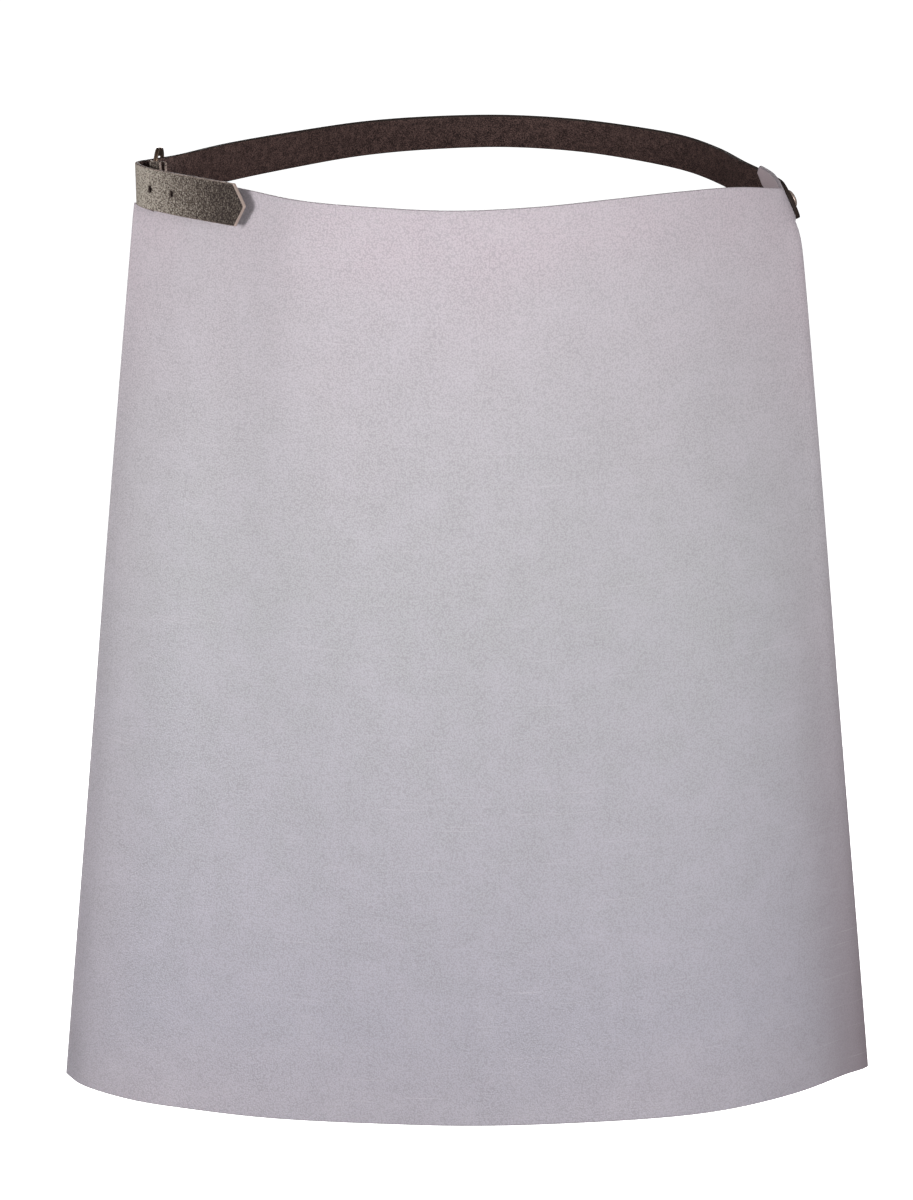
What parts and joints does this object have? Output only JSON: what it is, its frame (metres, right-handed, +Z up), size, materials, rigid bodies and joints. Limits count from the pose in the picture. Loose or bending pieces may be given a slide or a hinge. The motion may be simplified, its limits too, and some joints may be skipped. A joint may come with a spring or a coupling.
{
  "type": "leather waist apron",
  "caption": "Half apron of pale grey leather: a flaring front panel on a dark leather waist strap that goes round the back and fastens with a small buckle at the front.",
  "frame": {"origin": "centre of the waist loop, at the height of the strap, where the wearer's waist is", "axes": "+Z up, out of the waist; -Y is the panel's front; +X is the right of the front view, where the strap is riveted"},
  "size_m": [0.5253, 0.2989, 0.5982],
  "materials": {
    "panel_leather": "matt pale lilac grey leather with a fine pebble grain",
    "strap_leather": "matt dark brown leather, rough grey flesh side at the free end, pale cut edges",
    "buckle_metal": "dull brown metal, worn paler at its rim",
    "rivet_metal": "dull pinkish pale metal"
  },
  "bodies": {
    "root": {"apron_panel": "panel_leather", "waist_strap": "strap_leather", "buckle_frame": "buckle_metal", "buckle_prong": "buckle_metal", "buckle_chape": "strap_leather", "chape_rivet": "rivet_metal", "strap_rivet": "rivet_metal"}
  },
  "joints": []
}
